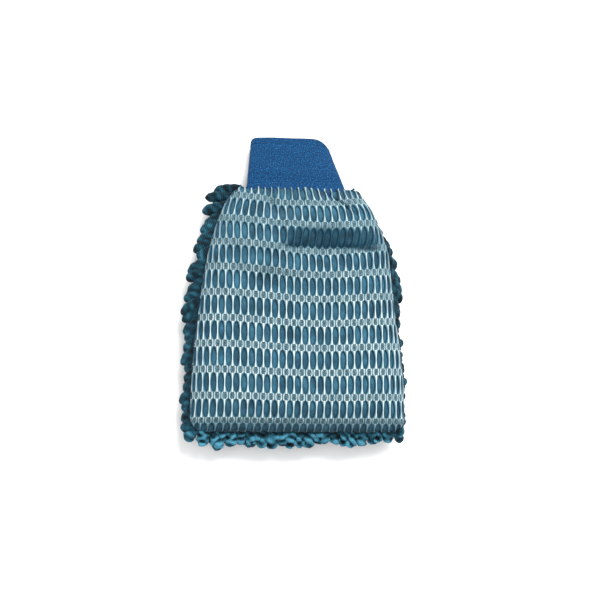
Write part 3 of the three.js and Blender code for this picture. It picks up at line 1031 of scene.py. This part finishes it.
def knitCuff():
    # A tube of knit whose mouth is folded inwards and sewn down as a hem. Each step of its profile
    # is how far it's inset into the wall, and how far it's down from the mouth.
    wall, hem = cuff["wall"], cuff["hemDepth"]
    length = cuff["top"] - cuff["root"]
    inner = wall + 1.4
    outerRun = [(0, d) for d in np.linspace(length, 1.2, 44)]
    foldHalf = inner / 2 + 0.7
    foldTurns = np.linspace(0, math.pi, 9)[1:]
    fold = [(foldHalf - foldHalf * math.cos(a), 1.2 - 1.2 * math.sin(a)) for a in foldTurns]
    turnedRun = [(inner + wall, d) for d in np.linspace(1.8, hem, 6)]
    backRun = [(inner, hem), (inner, 3.0), (wall, 2.2)]
    innerRun = [(wall, d) for d in np.linspace(3.0, length, 24)]
    profile = outerRun + fold + turnedRun + backRun + innerRun
    around = 480
    turn = evenTurns(around)
    points, deeper = [], []
    for inset, down in profile:
        level = np.full(around, float(down))
        points.append(cuffPoint(turn, inset, level))
        deeper.append(cuffPoint(turn, inset + 0.5, level))
    points = np.array(points)
    outward = points - np.array(deeper)
    size = np.linalg.norm(outward, axis=-1, keepdims=True)
    outward = outward / np.maximum(size, 1e-6)
    lengths = np.linalg.norm(np.roll(points[20], -1, axis=0) - points[20], axis=1)
    girth = np.concatenate([[0], np.cumsum(lengths)[:-1]])
    ribs = np.cos(2 * math.pi * girth / cuff["ribPitch"])
    for k, (inset, down) in enumerate(profile):
        if inset == 0:
            strength = 1.6 if down < hem else 0.7
            pinch = -cuff["hemPinch"] * math.exp(-(((down - hem) / 0.9) ** 2))
            points[k] += outward[k] * (cuff["ribDepth"] * strength * ribs + pinch)[:, None]
    waves = cuff["waveDepth"] * ripple(points[..., 0], points[..., 1], cuff["waveLength"], 8)
    points[..., 2] += waves * smooth(points[..., 1], body["endY"], body["endY"] + 14)
    faces = gridFaces(len(profile), around, closed=True)
    last = (len(profile) - 1) * around
    faces += [(last + i, last + (i + 1) % around, (i + 1) % around, i) for i in range(around)]
    down = np.array([d for _, d in profile])
    uv = np.stack(np.meshgrid(girth, down), -1).reshape(-1, 2)
    return makePiece("knit_cuff", points, faces, knitFinish, uv)


cuffPiece = knitCuff()
finished(cuffPiece, None, "knit", "cuff_knit")
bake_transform(cuffPiece)
print("cuff made")


# Threads, elastics and the binding tape.
sewing = {
    "sides": 5,  # of a stitch's tube
    "seamStitch": 3.4,
    "seamSpacing": 2.6,
    "seamRadius": 0.36,
    "seamCore": 0.6,
    "wristFrom": 188,  # the gathering elastic, along the mitt
    "wristTo": 198,
    "wristThick": 0.8,
    "wristInset": 1.2,
    "wristThreadY": 200.5,
    "wristThreadInset": 0.4,
    "wristThreadRadius": 0.35,
    "hemStitches": 66,
    "hemRadius": 0.32,
    "hemBandFrom": 2.8,  # the hem's elastic, down from the mouth
    "hemBandTo": 6.8,
    "hemBandInset": 0.35,
    "hemBandThick": 0.5,
    "tapeInsets": (1.8, 4.4, 7.0),
    "tapeThick": 0.6,
}


def tube(path, radius, sides):
    # A thread along a path, drawn in at both ends.
    path = np.asarray(path, float)
    step = np.gradient(path, axis=0)
    step /= np.linalg.norm(step, axis=1, keepdims=True)
    side = np.cross(step, [0.02, 0.05, 1.0])
    side /= np.linalg.norm(side, axis=1, keepdims=True)
    up = np.cross(side, step)
    turn = np.linspace(0, 2 * math.pi, sides, endpoint=False)
    k = np.linspace(-1, 1, len(path))
    size = radius * np.sqrt(np.maximum(0.04, 1 - np.abs(k) ** 6))
    ring = side[:, None] * np.cos(turn)[None, :, None] + up[:, None] * np.sin(turn)[None, :, None]
    points = path[:, None] + ring * size[:, None, None]
    last = (len(path) - 1) * sides
    faces = [tuple(range(sides))[::-1]] + gridFaces(len(path), sides, closed=True)
    faces.append(tuple(last + i for i in range(sides)))
    return points.reshape(-1, 3), faces


def seamStitches():
    # A fine cord along the sewn edge, with stitches that slant over it.
    line, outward = sewnLine()
    line = line + outward * 0.1 - [0, 0, 0.9]
    gaps = np.linalg.norm(np.diff(line, axis=0), axis=1)
    along = np.concatenate([[0], np.cumsum(gaps)])
    parts = []
    for at in np.arange(1, along[-1] - 4, sewing["seamSpacing"]):
        spots = at + np.linspace(0, sewing["seamStitch"], 5)
        path = np.stack([np.interp(spots, along, line[:, k]) for k in range(3)], -1)
        path[:, 2] += np.linspace(1.1, -1.1, 5)
        parts.append(tube(path, sewing["seamRadius"], sewing["sides"]))
    spots = np.arange(0, along[-1], 1.5)
    core = np.stack([np.interp(spots, along, line[:, k]) for k in range(3)], -1)
    parts.append(tube(core, sewing["seamCore"], 8))
    return makePiece("sewn_edge_stitches", *joined(parts)[:2], seamThreadFinish)


finished(seamStitches(), "mitt", "thread", "side_seam_thread")


def ringPoints(inset, y, count):
    # A flattened ring inside the wrist, kept under the face and its creases.
    turn = np.linspace(0, 2 * math.pi, count, endpoint=False)
    u = np.cos(turn) * 0.9
    level = np.full(count, float(y))
    full = fullness(u, level)
    underFace = smoothFace(u, level) - 2 - 5.5 * full
    underCrease = faceHeight(u, level) - 2 - 3.8 * full
    top = np.minimum(underFace, underCrease) - inset
    low = backHeight(u, level) + inset
    high = np.sin(turn)
    z = mix(low, top, 0.5 + 0.5 * np.sign(high) * np.abs(high) ** 0.35)
    return np.stack([across(u * (1 - inset * 0.6 / halfWidth(level)), level), level, z], -1)


def elasticBand(name, rings, thickness):
    rings = np.array(rings)
    faces = gridFaces(rings.shape[0], rings.shape[1], closed=True)
    return thicken(makePiece(name, rings, faces, elasticFinish), thickness)


def wristElastic():
    levels = np.linspace(sewing["wristFrom"], sewing["wristTo"], 8)
    rings = [ringPoints(sewing["wristInset"], y, 160) for y in levels]
    return elasticBand("gathering_elastic", rings, sewing["wristThick"])


finished(wristElastic(), "mitt", "elastic", "wrist_elastic")


def wristStitches():
    count = 240
    ring = ringPoints(sewing["wristThreadInset"], sewing["wristThreadY"], count)
    parts = []
    for k in range(0, count, 4):
        path = ring[[k, (k + 1) % count, (k + 2) % count, (k + 3) % count]]
        parts.append(tube(path, sewing["wristThreadRadius"], sewing["sides"]))
    return makePiece("wrist_stitches", *joined(parts)[:2], seamThreadFinish)


finished(wristStitches(), "mitt", "thread", "wrist_thread")


def hemStitches():
    # Each stitch comes up through the knit, lies on it and goes down again.
    count = sewing["hemStitches"]
    turns = evenTurns(count * 8)
    insets = np.array([0.35, -0.12, -0.12, 0.35])
    parts = []
    for k in range(count):
        turn = turns[k * 8 + np.array([1, 3, 5, 7])]
        path = [cuffPoint(turn[i], insets[i] + 0.2, cuff["hemDepth"]) for i in range(4)]
        parts.append(tube(path, sewing["hemRadius"], sewing["sides"]))
    return makePiece("hem_stitches", *joined(parts)[:2], hemThreadFinish)


finished(hemStitches(), "cuff", "thread", "hem_thread")


def hemElastic():
    count = 160
    turn = evenTurns(count)
    inset = cuff["wall"] + sewing["hemBandInset"]
    levels = np.linspace(sewing["hemBandFrom"], sewing["hemBandTo"], 5)
    rings = [cuffPoint(turn, inset, np.full(count, down)) for down in levels]
    return elasticBand("hem_elastic_band", rings, sewing["hemBandThick"])


finished(hemElastic(), "cuff", "elastic", "hem_elastic")


def bindingTape():
    # The tape that binds the seam inside the pocket.
    line, outward = sewnLine()
    keep = slice(12, len(line) - 12)
    line, outward = line[keep], outward[keep]
    bands = [line - outward * inset - [0, 0, 1.0] for inset in sewing["tapeInsets"]]
    piece = makePiece("binding_tape", np.array(bands), gridFaces(3, len(line)), tapeFinish)
    return thicken(piece, sewing["tapeThick"])


finished(bindingTape(), "mitt", "binding", "seam_binding")
print("sewing made")


# The stage: a matt white floor, an even white surround, and soft boxes far enough off to light the
# whole floor evenly. For each: where it stands, how wide it looks in degrees, and its strength.
stage = {
    "floorSide": 40.0,  # metres
    "floorColour": "#f7f7f7",
    "surround": 0.6,
    "softBoxes": {
        "soft_box_top": ((0.45, 1.05, 1.3), 36, 4.9),
        "soft_box_overhead": ((-0.5, -0.3, 1.6), 60, 1.3),
    },
}


def studio():
    colour = linear(stage["floorColour"])
    floorFinish = newMaterial("matt_white_floor", Roughness=0.9, Base_Color=colour)[0]
    mesh = bpy.data.meshes.new("floor")
    edge = stage["floorSide"] / 2
    corners = [(-edge, -edge, 0), (edge, -edge, 0), (edge, edge, 0), (-edge, edge, 0)]
    mesh.from_pydata(corners, [], [(0, 1, 2, 3)])
    mesh.materials.append(floorFinish)
    linked("floor", mesh)
    world = bpy.data.worlds.new("studio")
    world.use_nodes = True
    background = world.node_tree.nodes["Background"]
    background.inputs["Color"].default_value = (1, 1, 1, 1)
    background.inputs["Strength"].default_value = stage["surround"]
    bpy.context.scene.world = world
    for name, (place, spread, strength) in stage["softBoxes"].items():
        light = bpy.data.lights.new(name, "SUN")
        light.angle = math.radians(spread)
        light.energy = strength
        lamp = linked(name, light)
        lamp.location = place
        lamp.rotation_euler = (-Vector(place)).to_track_quat("-Z", "Y").to_euler()


view = {
    "lens": 85,
    "sensor": 36,
    "width": 0.4956,  # of the floor across the picture
    "tiltLeft": 8,  # degrees off overhead
    "tiltDown": 8,
    "centre": (-0.0010, -0.0020, 0.014),
}


def placeCamera():
    data = bpy.data.cameras.new("camera")
    data.lens = view["lens"]
    data.sensor_width = view["sensor"]
    data.clip_end = 20
    away = view["width"] / 2 / (data.sensor_width / 2 / data.lens)
    left = math.tan(math.radians(view["tiltLeft"]))
    down = math.tan(math.radians(view["tiltDown"]))
    back = Vector((-left, -down, 1)).normalized()
    right = Vector((0, 1, 0)).cross(back).normalized()
    turn = Matrix((right, back.cross(right), back)).transposed()
    camera = linked("camera", data)
    camera.matrix_world = Matrix.Translation(Vector(view["centre"]) + back * away) @ turn.to_4x4()
    bpy.context.scene.camera = camera


studio()
placeCamera()
bpy.context.scene.view_settings.view_transform = "Standard"
